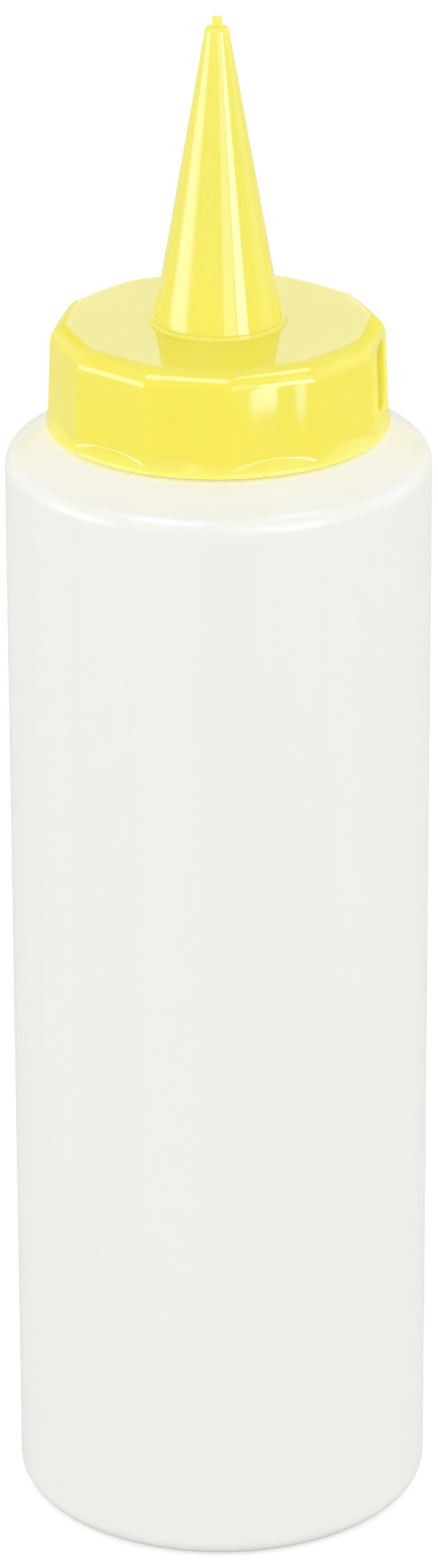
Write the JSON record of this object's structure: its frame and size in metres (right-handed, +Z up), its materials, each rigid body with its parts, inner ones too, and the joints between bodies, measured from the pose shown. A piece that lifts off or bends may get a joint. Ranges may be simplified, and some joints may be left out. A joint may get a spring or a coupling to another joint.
{
  "type": "squeeze bottle",
  "caption": "Milky soft-plastic squeeze bottle with a straight round body and a faceted yellow cap drawn out into a long cone nozzle.",
  "frame": {"origin": "on the bottle's axis in the plane that it stands on", "axes": "+Z up along the bottle towards the nozzle's tip, -Y towards the front of the view"},
  "size_m": [0.055, 0.055, 0.2052],
  "materials": {
    "body_plastic": "satin, milky and slightly see-through",
    "cap_plastic": "moulded, glossy"
  },
  "bodies": {
    "root": {"bottle": "body_plastic", "cap": "cap_plastic"}
  },
  "joints": []
}
